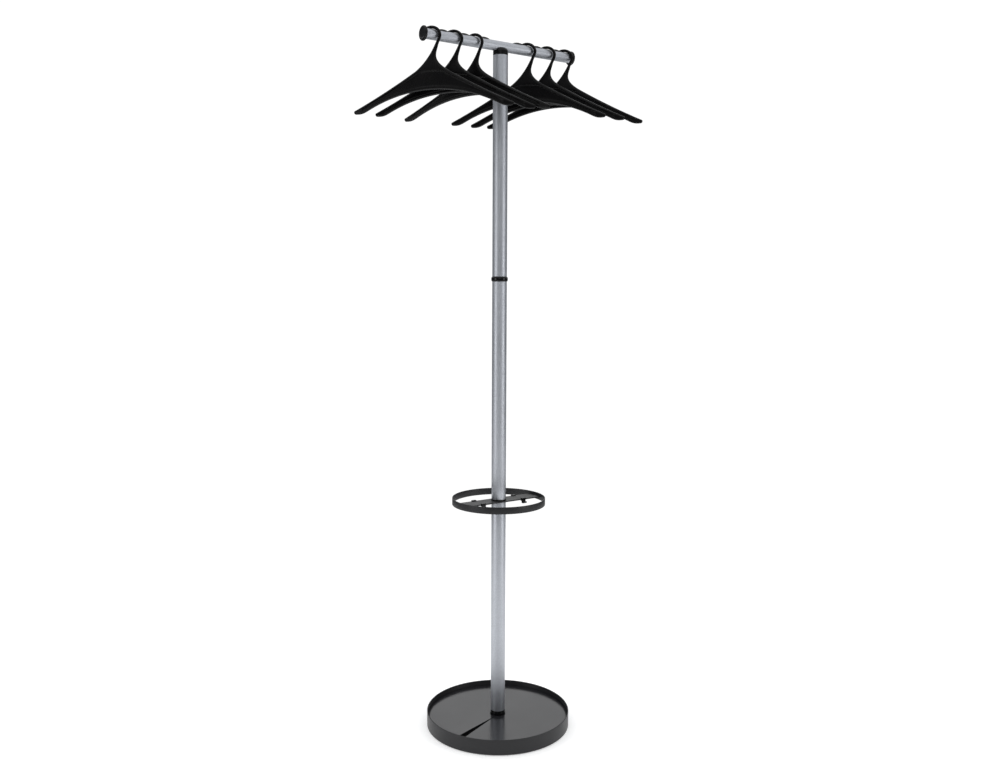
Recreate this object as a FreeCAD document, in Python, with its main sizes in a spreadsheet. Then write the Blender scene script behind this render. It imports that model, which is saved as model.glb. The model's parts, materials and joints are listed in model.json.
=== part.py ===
"""Standing coat rack: tray base, three-tube post, umbrella ring, crossbar and six hangers.

Millimetres. The origin is on the floor under the post's axis, +Z is up and +X runs along
the crossbar. Every sub-part is its own object, bound to the sheet of driving dimensions.
"""
import FreeCAD, Part
import math
import os

import Sketcher
from FreeCAD import Placement, Rotation, Vector

X_AXIS, Z_AXIS = Vector(1, 0, 0), Vector(0, 0, 1)

DIMENSIONS = {
    # Base: a folded steel dish on a ballast disc, with a loose mat in it.
    "base_radius": 190,
    "skirt_level": 2,
    "skirt_gauge": 1.6,
    "rim_level": 41.3,
    "rim_width": 2.4,
    "rim_corner": 1.5,
    "tray_level": 25.3,
    "pan_gauge": 1.6,
    "weight_radius": 184,
    "weight_level": 10,
    "foot_ring_outer": 175,
    "foot_ring_inner": 150,
    "mat_radius": 186,
    "mat_hole": 19.7,
    "mat_thickness": 3,
    "slit_bearing": 203.3,
    "slit_start_bearing": 224,
    "slit_half_angle": 2.8,
    # Post: levels are the lower faces of the pieces.
    "post_radius": 19,
    "tube_gauge": 1.5,
    "foot_level": 39,
    "ring_level": 609,
    "joint_level": 1185.2,
    "cap_level": 1752,
    "bar_level": 1774.8,
    "plug_length": 30,
    "joint_collar_height": 12.4,
    "joint_collar_edge": 19.3,
    "joint_collar_barrel": 9.8,
    # Threaded fasteners, all M10.
    "thread_radius": 5,
    "grip_length": 25,
    "washer_radius": 10.5,
    "washer_thickness": 2,
    "head_flats": 17,
    "head_height": 6.4,
    "bolt_length": 55,
    # Umbrella holder.
    "ring_radius": 122.6,
    "band_height": 18,
    "band_gauge": 2.4,
    "band_drop": 7.8,
    "plate_width": 48,
    "plate_thickness": 3.2,
    "plate_collar_radius": 19.6,
    "plate_collar_height": 3.2,
    "strap_hook_width": 12,
    "strap_hook_offset": 63,
    "strap_hook_gauge": 2.4,
    "strap_hook_grip": 5,
    "strap_hook_drop": 8,
    "strap_hook_reach": 8,
    # Crossbar.
    "bar_radius": 12.5,
    "bar_gauge": 1.5,
    "bar_half_length": 220,
    "saddle_crown": 8,
    "saddle_top": 18.4,
    "nut_top": -2,
    "nut_length": 24,
    "end_cap_radius": 18,
    "end_cap_thickness": 6.6,
    "end_cap_round": 2.8,
    "end_plug_length": 18,
    "spacer_half_length": 16,
    "spacer_edge": 0.4,
    "spacer_curve": 41,
    "spacer_spread": 60,
    # Hanger: across is measured from its own centreline, up from the crossbar's axis.
    "blade_shift": 1.5,
    "blade_depth": 11,
    "web_depth": 4,
    "shoulder_start": 37,
    "shoulder_level": -81.5,
    "shoulder_curve": 1800,
    "crown_curve": 60,
    "tip_reach": 209,
    "tip_level": -169.8,
    "tip_curve": 5.6,
    "heel_reach": 203,
    "heel_level": -178.2,
    "heel_curve": 45,
    "arch_start": 176,
    "arch_level": -173.2,
    "arch_curve": 380,
    "panel_reach": 188,
    "panel_tip_level": -164.5,
    "panel_start": 35,
    "panel_level": -88.5,
    "panel_crown": 260,
    "panel_foot_reach": 186,
    "panel_foot_level": -171.5,
    "panel_arch": 385,
    "neck_depth": 7.6,
    "neck_level": -40,
    "neck_left": 1,
    "neck_right": 14,
    "neck_base": -92,
    "neck_left_curve": 126,
    "neck_right_curve": 38,
    "hook_radius": 3.9,
    "hook_across": 23.4,
    "hook_up": 19.6,
    "hook_centre": -2.8,
    "hook_tip_angle": 175,
    "stem_foot": 6.5,
    "stem_level": -46,
}

# Along the crossbar: the middle of each spacer, and each hanger's place and its bearing.
SPACER_PLACES = (-171.5, -110, -52, 52, 110, 171.5)
HANGERS = (
    (-202.5, -53.5),
    (-140.5, -51.8),
    (-79.5, -63),
    (80, -53.9),
    (142.5, -53.1),
    (200, -48.5),
)

doc = FreeCAD.newDocument("coat_rack")
sheet = doc.addObject("Spreadsheet::Sheet", "dims")
for row, (alias, number) in enumerate(DIMENSIONS.items(), start=1):
    sheet.set(f"A{row}", alias.replace("_", " "))
    sheet.set(f"B{row}", str(number))
    sheet.setAlias(f"B{row}", alias)
doc.recompute()

nodes = []


def value(expression):
    """The number that an expression on the sheet gives."""
    return float(sheet.evalExpression(expression))


def add_node(item, label, level=None, along=None, turn=None):
    """Labels a finished sub-part and sets its place: up, along the bar, and turned."""
    item.Label = label
    if turn:
        item.Placement = Placement(Vector(0, 0, 0), Rotation(*turn))
    if level:
        item.setExpression("Placement.Base.z", level)
    if along is not None:
        item.setExpression("Placement.Base.x", str(along))
    nodes.append(item)
    return item


def new_body(name):
    return doc.addObject("PartDesign::Body", name)


def new_sketch(body, role):
    """An empty sketch on one of the body's own planes."""
    sketch = body.newObject("Sketcher::SketchObject", body.Name + "_sketch")
    plane = next(item for item in body.Origin.OriginFeatures if item.Role == role)
    sketch.AttachmentSupport = [(plane, "")]
    sketch.MapMode = "FlatFace"
    return sketch


def bind(sketch, kind, *where, to):
    """Adds a constraint and ties its size to an expression."""
    index = sketch.addConstraint(Sketcher.Constraint(kind, *where, value(to)))
    sketch.setExpression(f"Constraints[{index}]", to)


def pin_point(sketch, side, end, across, up):
    bind(sketch, "DistanceX", -1, 1, side, end, to=across)
    bind(sketch, "DistanceY", -1, 1, side, end, to=up)


def circle(sketch, radius, across="0", up="0"):
    centre = Vector(value(across), value(up), 0)
    index = sketch.addGeometry(Part.Circle(centre, Z_AXIS, value(radius)), False)
    bind(sketch, "Radius", index, to=radius)
    pin_point(sketch, index, 3, across, up)


def arc_between(start, end, radius):
    """The short arc from start to end, with its centre on the left when radius is positive."""
    chord = end - start
    left = Vector(-chord.y, chord.x, 0).normalize()
    rise = math.sqrt(max(radius**2 - (chord.Length / 2) ** 2, 0))
    centre = (start + end) / 2 + left * math.copysign(rise, radius)
    middle = centre - left * radius
    return Part.Arc(start, middle, end)


def outline(sketch, corners):
    """Draws a closed outline through corners that are bound to the sheet.

    A corner is (across, up) where a straight side ends, and (across, up, radius) where an
    arc ends. A positive radius puts the arc's centre on the left of the way round.
    """
    spots = [Vector(value(corner[0]), value(corner[1]), 0) for corner in corners]
    ends = []
    for index, corner in enumerate(corners):
        start, end = spots[index - 1], spots[index]
        if len(corner) == 2:
            side = sketch.addGeometry(Part.LineSegment(start, end), False)
            ends.append((side, 1, 2))
            continue
        radius = value(corner[2])
        side = sketch.addGeometry(arc_between(start, end, radius), False)
        ends.append((side, 1, 2) if radius > 0 else (side, 2, 1))
        bind(sketch, "Radius", side, to=f"abs({corner[2]})")
    for index, (side, _, last) in enumerate(ends):
        following, first, _ = ends[(index + 1) % len(ends)]
        sketch.addConstraint(Sketcher.Constraint("Coincident", side, last, following, first))
        pin_point(sketch, side, last, *corners[index][:2])


def pad(body, sketch, length, symmetric=False):
    feature = body.newObject("PartDesign::Pad", body.Name + "_pad")
    feature.Profile = sketch
    feature.setExpression("Length", length)
    if symmetric:
        feature.SideType = "Symmetric"
    sketch.Visibility = False
    return feature


def revolve(body, sketch, axis="V_Axis", angle=None):
    feature = body.newObject("PartDesign::Revolution", body.Name + "_revolution")
    feature.Profile = sketch
    feature.ReferenceAxis = (sketch, [axis])
    feature.Angle = 360
    if angle:
        feature.setExpression("Angle", angle)
    return feature


def pocket(body, sketch, length, symmetric=False):
    """Cuts a pocket and makes sure that it really removed something."""
    doc.recompute()
    before = body.Shape.Volume
    feature = body.newObject("PartDesign::Pocket", body.Name + "_pocket")
    feature.Profile = sketch
    feature.setExpression("Length", length)
    if symmetric:
        feature.SideType = "Symmetric"
    doc.recompute()
    if body.Shape.Volume >= before - 1:
        raise RuntimeError(f"{feature.Name} cuts nothing")
    return feature


def ring_body(name, outer, inner, length, role="XY_Plane", symmetric=False):
    """A round bar or tube; inner None leaves it solid."""
    body = new_body(name)
    sketch = new_sketch(body, role)
    circle(sketch, outer)
    if inner:
        circle(sketch, inner)
    pad(body, sketch, length, symmetric)
    return body


def turned_body(name, corners, axis="V_Axis", angle=None):
    """A body of revolution from an outline on its upright plane."""
    body = new_body(name)
    sketch = new_sketch(body, "XZ_Plane")
    outline(sketch, corners)
    revolve(body, sketch, axis, angle)
    return body


def group(name, members):
    """Identical pieces, each its own solid, that share one sub-part."""
    compound = doc.addObject("Part::Compound", name)
    compound.Links = members
    return compound


# ---- Base ----


def make_base_pan():
    """Dish with a folded rim: its outer skirt hides the ballast."""
    hole = "dims.thread_radius"
    inside = "dims.base_radius - dims.rim_width"
    round_end = "dims.rim_level - dims.rim_width / 2"
    floor_below = "dims.tray_level - dims.pan_gauge"
    skirt_inside = "dims.base_radius - dims.skirt_gauge"
    pan = turned_body("base_pan", [
        (hole, floor_below),
        (skirt_inside, floor_below),
        (skirt_inside, "dims.skirt_level"),
        ("dims.base_radius", "dims.skirt_level"),
        ("dims.base_radius", round_end),
        ("dims.base_radius - dims.rim_width / 2", "dims.rim_level", "dims.rim_width / 2"),
        (inside, round_end, "dims.rim_width / 2"),
        (inside, "dims.tray_level + dims.rim_corner"),
        (inside + " - dims.rim_corner", "dims.tray_level", "-dims.rim_corner"),
        (hole, "dims.tray_level"),
    ])
    add_node(pan, "base_pan")


def make_base_weight():
    thickness = "dims.tray_level - dims.pan_gauge - dims.weight_level"
    disc = ring_body("base_weight", "dims.weight_radius", "dims.thread_radius", thickness)
    add_node(disc, "base_weight", "dims.weight_level")


def make_foot_ring():
    """Rubber ring under the ballast that the whole rack stands on."""
    ring = ring_body(
        "foot_ring", "dims.foot_ring_outer", "dims.foot_ring_inner", "dims.weight_level"
    )
    add_node(ring, "foot_ring")


def make_drip_mat():
    """Loose liner. A wedge-shaped slit lets it come off the post sideways."""
    mat = ring_body("drip_mat", "dims.mat_radius", "dims.mat_hole", "dims.mat_thickness")
    slit = new_sketch(mat, "XY_Plane")
    start = "(dims.mat_hole - 2)"
    bearings = [
        (start, "dims.slit_start_bearing"),
        ("dims.base_radius", "(dims.slit_bearing - dims.slit_half_angle)"),
        ("dims.base_radius", "(dims.slit_bearing + dims.slit_half_angle)"),
    ]
    outline(slit, [
        (f"{reach} * cos({bearing} * 1 deg)", f"{reach} * sin({bearing} * 1 deg)")
        for reach, bearing in bearings
    ])
    cut = pocket(mat, slit, "2 * dims.mat_thickness + 2", symmetric=True)
    mat.Tip = cut
    add_node(mat, "drip_mat", "dims.tray_level")


def make_base_bolt():
    """Hexagon bolt, head down, that pulls the post on to the base."""
    bolt = new_body("base_bolt")
    head = new_sketch(bolt, "XY_Plane")
    corner_radius = "dims.head_flats / sqrt(3)"
    outline(head, [
        (f"{corner_radius} * cos({60 * side} deg)", f"{corner_radius} * sin({60 * side} deg)")
        for side in range(6)
    ])
    pad(bolt, head, "dims.head_height")
    shank = new_sketch(bolt, "XY_Plane")
    circle(shank, "dims.thread_radius")
    pad(bolt, shank, "dims.head_height + dims.bolt_length")
    under_washer = "dims.weight_level - dims.washer_thickness"
    add_node(bolt, "base_bolt", f"{under_washer} - dims.head_height")
    washer = ring_body(
        "base_washer", "dims.washer_radius", "dims.thread_radius", "dims.washer_thickness"
    )
    add_node(washer, "base_washer", under_washer)


# ---- Post ----


def make_post():
    """Three tubes, with a black collar under the first and one between the last two."""
    collar = ring_body(
        "foot_collar", "dims.post_radius", "dims.thread_radius",
        "dims.foot_level - dims.tray_level",
    )
    add_node(collar, "foot_collar", "dims.tray_level")
    above_plate = "dims.ring_level + dims.plate_thickness + dims.plate_collar_height"
    above_joint = "dims.joint_level + dims.joint_collar_height"
    runs = {
        "lower_tube": ("dims.foot_level", "dims.ring_level"),
        "middle_tube": (above_plate, "dims.joint_level"),
        "upper_tube": (above_joint, "dims.cap_level"),
    }
    bore = "dims.post_radius - dims.tube_gauge"
    for name, (bottom, top) in runs.items():
        tube = ring_body(name, "dims.post_radius", bore, f"{top} - ({bottom})")
        add_node(tube, name, bottom)
        for end, level in (("foot", bottom), ("top", f"{top} - dims.plug_length")):
            plug_name = f"{name}_{end}_plug"
            plug = ring_body(plug_name, bore, "dims.thread_radius", "dims.plug_length")
            add_node(plug, plug_name, level)
    make_stud("ring_stud", "dims.ring_level - dims.grip_length",
              f"{above_plate} + dims.grip_length")
    make_stud("joint_stud", "dims.joint_level - dims.grip_length",
              f"{above_joint} + dims.grip_length")


def make_stud(name, bottom, top):
    """Threaded stud, drawn at its outer diameter."""
    stud = ring_body(name, "dims.thread_radius", None, f"{top} - ({bottom})")
    add_node(stud, name, bottom)


def make_joint_collar():
    """Barrel-shaped collar, a little wider than the tubes that it parts."""
    collar = turned_body("joint_collar", [
        ("dims.thread_radius", "0"),
        ("dims.joint_collar_edge", "0"),
        ("dims.joint_collar_edge", "dims.joint_collar_height", "dims.joint_collar_barrel"),
        ("dims.thread_radius", "dims.joint_collar_height"),
    ])
    add_node(collar, "joint_collar", "dims.joint_level")


# ---- Umbrella holder ----


def make_umbrella_ring():
    """Flat band, and the plate across it that the post clamps."""
    inside = "(dims.ring_radius - dims.band_gauge)"
    band = ring_body("umbrella_band", "dims.ring_radius", inside, "dims.band_height")
    add_node(band, "umbrella_band", "dims.ring_level - dims.band_drop")

    half_width = "dims.plate_width / 2"
    plate_end = f"sqrt({inside}^2 - ({half_width})^2)"
    plate = new_body("umbrella_plate")
    sketch = new_sketch(plate, "XY_Plane")
    outline(sketch, [
        (plate_end, half_width, inside),
        (f"-{plate_end}", half_width),
        (f"-{plate_end}", f"-{half_width}", inside),
        (plate_end, f"-{half_width}"),
    ])
    circle(sketch, "dims.thread_radius")
    pad(plate, sketch, "dims.plate_thickness")
    add_node(plate, "umbrella_plate", "dims.ring_level")

    collar = ring_body(
        "plate_collar", "dims.plate_collar_radius", "dims.thread_radius",
        "dims.plate_collar_height",
    )
    add_node(collar, "plate_collar", "dims.ring_level + dims.plate_thickness")


def make_strap_hook(number, along, side):
    """Clip that grips the plate's edge, with an upturned hook below it for a strap."""
    gauge, grip = "dims.strap_hook_gauge", "dims.strap_hook_grip"
    drop, reach = "dims.strap_hook_drop", "dims.strap_hook_reach"
    thickness = "dims.plate_thickness"
    hook = new_body(f"strap_hook_{number}")
    sketch = new_sketch(hook, "YZ_Plane")
    outline(sketch, [
        (f"-{grip}", thickness),
        ("0", thickness),
        ("0", "0"),
        (f"-{grip}", "0"),
        (f"-{grip}", f"-{gauge}"),
        ("0", f"-{gauge}"),
        ("0", f"-{drop}"),
        (reach, f"-{drop}"),
        (reach, f"-{drop} + 2 * {gauge}"),
        (f"{reach} - {gauge}", f"-{drop} + 2 * {gauge}"),
        (f"{reach} - {gauge}", f"-{drop} + {gauge}"),
        (gauge, f"-{drop} + {gauge}"),
        (gauge, f"{thickness} + {gauge}"),
        (f"-{grip}", f"{thickness} + {gauge}"),
    ])
    pad(hook, sketch, "dims.strap_hook_width", symmetric=True)
    hook.Placement.Rotation = Rotation(Z_AXIS, 0 if side > 0 else 180)
    hook.setExpression("Placement.Base.x", f"{along} * dims.strap_hook_offset")
    hook.setExpression("Placement.Base.y", f"{side} * dims.plate_width / 2")
    hook.setExpression("Placement.Base.z", "dims.ring_level")
    return hook


def make_umbrella_hooks():
    places = [(along, side) for side in (-1, 1) for along in (-1, 1)]
    hooks = [make_strap_hook(number, *place) for number, place in enumerate(places, start=1)]
    add_node(group("umbrella_hooks", hooks), "umbrella_hooks")


# ---- Crossbar ----


def make_saddle_cap():
    """Cap of the post's width; the bar's groove leaves a round lobe in front and behind."""
    crown_start = "dims.post_radius - dims.saddle_crown"
    cap = turned_body("saddle_cap", [
        ("dims.thread_radius", "0"),
        ("dims.post_radius", "0"),
        ("dims.post_radius", "dims.saddle_top - dims.saddle_crown"),
        (crown_start, "dims.saddle_top", "dims.saddle_crown"),
        ("dims.thread_radius", "dims.saddle_top"),
    ])
    groove = new_sketch(cap, "YZ_Plane")
    circle(groove, "dims.bar_radius", "0", "dims.bar_level - dims.cap_level")
    cap.Tip = pocket(cap, groove, "3 * dims.post_radius", symmetric=True)
    add_node(cap, "saddle_cap", "dims.cap_level")


def make_crossbar():
    bore = "dims.bar_radius - dims.bar_gauge"
    bar = ring_body(
        "crossbar", "dims.bar_radius", bore, "2 * dims.bar_half_length", "YZ_Plane", True
    )
    stud_hole = new_sketch(bar, "XY_Plane")
    circle(stud_hole, "dims.thread_radius")
    bar.Tip = pocket(bar, stud_hole, "dims.bar_radius + 1")
    add_node(bar, "crossbar", "dims.bar_level")
    make_stud("bar_stud", "dims.cap_level - dims.grip_length", "dims.bar_level + dims.nut_top")


def make_bar_nut():
    """Half-round nut that lies in the bar's bore and takes the stud from below."""
    bore = "dims.bar_radius - dims.bar_gauge"
    core = doc.addObject("Part::Cylinder", "nut_core")
    core.setExpression("Radius", bore)
    core.setExpression("Height", "dims.nut_length")
    core.Placement = Placement(Vector(0, 0, 0), Rotation(Vector(0, 1, 0), 90))
    core.setExpression("Placement.Base.x", "-dims.nut_length / 2")
    lower_half = doc.addObject("Part::Box", "nut_lower_half")
    lower_half.setExpression("Length", "dims.nut_length")
    lower_half.setExpression("Width", f"2 * ({bore})")
    lower_half.setExpression("Height", bore)
    lower_half.setExpression("Placement.Base.x", "-dims.nut_length / 2")
    lower_half.setExpression("Placement.Base.y", f"-({bore})")
    lower_half.setExpression("Placement.Base.z", f"dims.nut_top - ({bore})")
    segment = doc.addObject("Part::Common", "nut_segment")
    segment.Base, segment.Tool = core, lower_half
    thread = doc.addObject("Part::Cylinder", "nut_thread")
    thread.setExpression("Radius", "dims.thread_radius")
    thread.setExpression("Height", f"2 * ({bore})")
    thread.setExpression("Placement.Base.z", f"-({bore})")
    nut = doc.addObject("Part::Cut", "bar_nut")
    nut.Base, nut.Tool = segment, thread
    add_node(nut, "bar_nut", "dims.bar_level")


def make_end_caps():
    """Round discs, each with a plug that fills the end of the bar."""
    bore = "dims.bar_radius - dims.bar_gauge"
    edge, thickness = "dims.end_cap_round", "dims.end_cap_thickness"
    radius = "dims.end_cap_radius"
    for name, turn, side in (("left_end_cap", 180, "-"), ("right_end_cap", 0, "")):
        cap = turned_body(name, [
            ("-dims.end_plug_length", "0"),
            (thickness, "0"),
            (thickness, f"{radius} - {edge}"),
            (f"{thickness} - {edge}", radius, edge),
            (edge, radius),
            ("0", f"{radius} - {edge}", edge),
            ("0", bore),
            ("-dims.end_plug_length", bore),
        ], axis="H_Axis")
        add_node(cap, name, "dims.bar_level", f"{side}dims.bar_half_length", (Z_AXIS, turn))


def make_spacers():
    """Lens-shaped humps on top of the bar: an arc turned part of the way round its axis."""
    for number, place in enumerate(SPACER_PLACES, start=1):
        half = "dims.spacer_half_length"
        edge = "dims.bar_radius + dims.spacer_edge"
        hump = turned_body(f"spacer_{number}", [
            (f"-{half}", "dims.bar_radius"),
            (half, "dims.bar_radius"),
            (half, edge),
            (f"-{half}", edge, "dims.spacer_curve"),
        ], axis="H_Axis", angle="dims.spacer_spread")
        half_spread = value("dims.spacer_spread") / 2
        add_node(hump, f"spacer_{number}", "dims.bar_level", place, (X_AXIS, -half_spread))


# ---- Hangers ----


def blade_corners():
    """Outer edge of the shoulders: crown, shoulder, round tip, heel and the arch below."""
    half = [
        ("dims.shoulder_start", "dims.shoulder_level", "-dims.crown_curve"),
        ("dims.tip_reach", "dims.tip_level", "dims.shoulder_curve"),
        ("dims.heel_reach", "dims.heel_level", "-dims.tip_curve"),
        ("dims.arch_start", "dims.arch_level", "-dims.heel_curve"),
    ]
    right = [(f"dims.blade_shift + {across}", up, *arc) for across, up, *arc in half]
    left = [
        ("dims.blade_shift - dims.arch_start", "dims.arch_level", "dims.arch_curve"),
        ("dims.blade_shift - dims.heel_reach", "dims.heel_level", "-dims.heel_curve"),
        ("dims.blade_shift - dims.tip_reach", "dims.tip_level", "-dims.tip_curve"),
        ("dims.blade_shift - dims.shoulder_start", "dims.shoulder_level", "dims.shoulder_curve"),
    ]
    return right + left


def panel_corners():
    """Edge of the recessed panel inside the shoulders."""
    return [
        ("dims.blade_shift + dims.panel_start", "dims.panel_level", "-dims.panel_crown"),
        ("dims.blade_shift + dims.panel_reach", "dims.panel_tip_level", "dims.shoulder_curve"),
        ("dims.blade_shift + dims.panel_foot_reach", "dims.panel_foot_level",
         "-dims.tip_curve"),
        ("dims.blade_shift - dims.panel_foot_reach", "dims.panel_foot_level",
         "dims.panel_arch"),
        ("dims.blade_shift - dims.panel_reach", "dims.panel_tip_level", "-dims.tip_curve"),
        ("dims.blade_shift - dims.panel_start", "dims.panel_level", "dims.shoulder_curve"),
    ]


def neck_corners():
    """Web under the stem, which flares out into the shoulders on both sides."""
    right = "dims.blade_shift + dims.shoulder_start"
    left = "dims.blade_shift - dims.shoulder_start"
    return [
        ("dims.blade_shift + dims.neck_left", "dims.neck_level", "dims.neck_left_curve"),
        ("dims.blade_shift + dims.neck_right", "dims.neck_level"),
        (right, "dims.shoulder_level", "dims.neck_right_curve"),
        (right, "dims.neck_base"),
        (left, "dims.neck_base"),
        (left, "dims.shoulder_level"),
    ]


def hook_line(sketch):
    """Draws the hook's centreline: a straight stem that runs tangent into an oval.

    The stem's foot is outside the oval, so the tangent point follows from the two sizes of
    the oval and the foot's place under its centre.
    """
    across, up = value("dims.hook_across"), value("dims.hook_up")
    centre = Vector(0, value("dims.hook_centre"), 0)
    foot = Vector(value("dims.blade_shift + dims.stem_foot"), value("dims.stem_level"), 0)
    fall, side = across * (centre.y - foot.y), up * foot.x
    tangent = math.acos(across * up / math.hypot(fall, side)) - math.atan2(fall, side)
    tip = math.radians(value("dims.hook_tip_angle"))
    touch = centre + Vector(across * math.cos(tangent), up * math.sin(tangent), 0)
    oval = Part.Ellipse(centre, across, up)
    sketch.addGeometry(Part.LineSegment(foot, touch), False)
    sketch.addGeometry(Part.ArcOfEllipse(oval, tangent, tip), False)
    for index in range(2):
        sketch.addConstraint(Sketcher.Constraint("Block", index))
    return centre + Vector(across * math.cos(tip), up * math.sin(tip), 0)


def make_hanger(number, place, bearing):
    """One moulded hanger: thin web, rounded rim, neck, and a hook that rests on the bar."""
    name = f"hanger_{number}"
    body = new_body(name)
    web = new_sketch(body, "XZ_Plane")
    outline(web, blade_corners())
    pad(body, web, "dims.web_depth", symmetric=True)
    rim = new_sketch(body, "XZ_Plane")
    outline(rim, blade_corners())
    outline(rim, panel_corners())
    pad(body, rim, "dims.blade_depth", symmetric=True)
    neck = new_sketch(body, "XZ_Plane")
    outline(neck, neck_corners())
    pad(body, neck, "dims.neck_depth", symmetric=True)

    line = new_sketch(body, "XZ_Plane")
    tip = hook_line(line)
    doc.recompute()
    section = body.newObject("Sketcher::SketchObject", body.Name + "_section")
    section.AttachmentSupport = [(line, "Edge1")]
    section.MapMode = "NormalToEdge"
    circle(section, "dims.hook_radius")
    rod = body.newObject("PartDesign::AdditivePipe", body.Name + "_rod")
    rod.Profile = section
    rod.Spine = (line, ["Edge1", "Edge2"])
    ball = body.newObject("PartDesign::AdditiveSphere", body.Name + "_tip")
    ball.setExpression("Radius", "dims.hook_radius")
    ball.Placement.Base = Vector(tip.x, 0, tip.y)
    body.Tip = ball
    add_node(body, name, "dims.bar_level", place, (Z_AXIS, bearing))


make_base_pan()
make_base_weight()
make_foot_ring()
make_drip_mat()
make_base_bolt()
make_post()
make_joint_collar()
make_umbrella_ring()
make_umbrella_hooks()
make_saddle_cap()
make_crossbar()
make_bar_nut()
make_end_caps()
make_spacers()
for number, (place, bearing) in enumerate(HANGERS, start=1):
    make_hanger(number, place, bearing)

doc.recompute()
for item in doc.Objects:
    if "Invalid" in item.State or "Error" in item.State:
        raise RuntimeError(f"{item.Label} did not recompute: {item.State}")
for item in nodes:
    if item.Shape.isNull() or not item.Shape.isValid():
        raise RuntimeError(f"{item.Label} has no valid shape")

os.makedirs("parts", exist_ok=True)
for item in nodes:
    item.Shape.exportStep(f"parts/{item.Label}.step")
    print(item.Label, round(item.Shape.Volume), len(item.Shape.Solids))
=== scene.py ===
"""Standing coat rack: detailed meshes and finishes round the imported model.

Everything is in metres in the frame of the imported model: the floor is z = 0, the post
stands on the origin and the crossbar runs along X. Sizes in small parts are written in
millimetres and multiplied by MM where the mesh is made.
"""
import json
import math

import bmesh
import bpy
import numpy as np
from mathutils import Matrix, Vector


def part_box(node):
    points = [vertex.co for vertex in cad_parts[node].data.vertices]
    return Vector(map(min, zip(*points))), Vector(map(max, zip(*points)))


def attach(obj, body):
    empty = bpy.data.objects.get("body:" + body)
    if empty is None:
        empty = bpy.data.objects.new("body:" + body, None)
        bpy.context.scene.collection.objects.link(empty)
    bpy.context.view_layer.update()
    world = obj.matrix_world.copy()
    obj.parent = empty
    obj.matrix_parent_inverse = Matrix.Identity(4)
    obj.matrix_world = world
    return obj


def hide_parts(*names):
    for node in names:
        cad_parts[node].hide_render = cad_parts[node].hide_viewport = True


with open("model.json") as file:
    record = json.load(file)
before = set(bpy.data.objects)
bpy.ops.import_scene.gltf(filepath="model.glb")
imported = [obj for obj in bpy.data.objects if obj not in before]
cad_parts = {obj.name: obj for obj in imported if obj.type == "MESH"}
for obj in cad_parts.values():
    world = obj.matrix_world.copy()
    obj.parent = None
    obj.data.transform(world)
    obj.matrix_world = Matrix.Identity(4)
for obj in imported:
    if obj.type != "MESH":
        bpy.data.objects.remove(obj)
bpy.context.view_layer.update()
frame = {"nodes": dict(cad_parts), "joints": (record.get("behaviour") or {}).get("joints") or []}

bl_info = {
    "name": "Coat Rack",
    "version": (1, 0, 0),
    "blender": (4, 5, 0),
    "location": "3D View > Sidebar > Coat Rack",
    "description": "Builds a standing coat rack with an umbrella tray and six hangers",
    "category": "Add Mesh",
}

MM = 0.001
TUBE_GAUGE, BAND_GAUGE, BAR_RADIUS = 1.5 * MM, 2.4 * MM, 12.5 * MM
JOINTS = {joint["name"]: joint for joint in frame["joints"]}
BAR_AXIS = JOINTS["hanger_1_swing"]["pos_m"][2]

# The way each hanger faces: the bearing of its long side, in degrees from the crossbar.
HANGER_BEARINGS = (-53.5, -51.8, -63.0, -53.9, -53.1, -48.5)


def linear(code):
    """An sRGB hex colour as linear numbers."""
    parts = [int(code[start:start + 2], 16) / 255 for start in (1, 3, 5)]
    return tuple(p / 12.92 if p <= 0.04045 else ((p + 0.055) / 1.055) ** 2.4 for p in parts)


# ---- What a user would change ----


class RackColours(bpy.types.PropertyGroup):
    """Colours of the finishes."""

    tray: bpy.props.FloatVectorProperty(
        name="Tray", description="Powder coat of the base and the umbrella ring",
        subtype="COLOR", size=3, min=0, max=1, default=linear("#1E1E20"))
    mat: bpy.props.FloatVectorProperty(
        name="Drip mat", description="Vinyl of the loose mat",
        subtype="COLOR", size=3, min=0, max=1, default=linear("#1D1D20"))
    tube: bpy.props.FloatVectorProperty(
        name="Tubes", description="Aluminium-flake paint of the post and the crossbar",
        subtype="COLOR", size=3, min=0, max=1, default=linear("#BABDC3"))
    hanger: bpy.props.FloatVectorProperty(
        name="Hangers", description="Moulded plastic of the hangers",
        subtype="COLOR", size=3, min=0, max=1, default=linear("#050405"))
    fittings: bpy.props.FloatVectorProperty(
        name="Fittings", description="Moulded plastic of collars, caps and spacers",
        subtype="COLOR", size=3, min=0, max=1, default=linear("#050506"))


class RackSizes(bpy.types.PropertyGroup):
    """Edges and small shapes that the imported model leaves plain."""

    hem: bpy.props.FloatProperty(
        name="Rim rounding", description="Radius of the folded rim of the base",
        unit="LENGTH", default=1.15 * MM, min=0.1 * MM, max=1.2 * MM)
    tube_edge: bpy.props.FloatProperty(
        name="Tube edge", description="Rounding at the cut ends of the tubes",
        unit="LENGTH", default=0.5 * MM, min=0.1 * MM, max=0.7 * MM)
    moulded_edge: bpy.props.FloatProperty(
        name="Moulded edge", description="Rounding on the edges of moulded fittings",
        unit="LENGTH", default=0.8 * MM, min=0.1 * MM, max=1.5 * MM)
    mat_lift: bpy.props.FloatProperty(
        name="Mat lift", description="How far the mat curls up beside its slit",
        unit="LENGTH", default=1.3 * MM, min=0, max=4 * MM)
    panel_step: bpy.props.FloatProperty(
        name="Panel step", description="How deep the hanger's panel lies in its rim",
        unit="LENGTH", default=3.2 * MM, min=0, max=3.5 * MM)


# ---- Nodes and finishes ----


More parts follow.
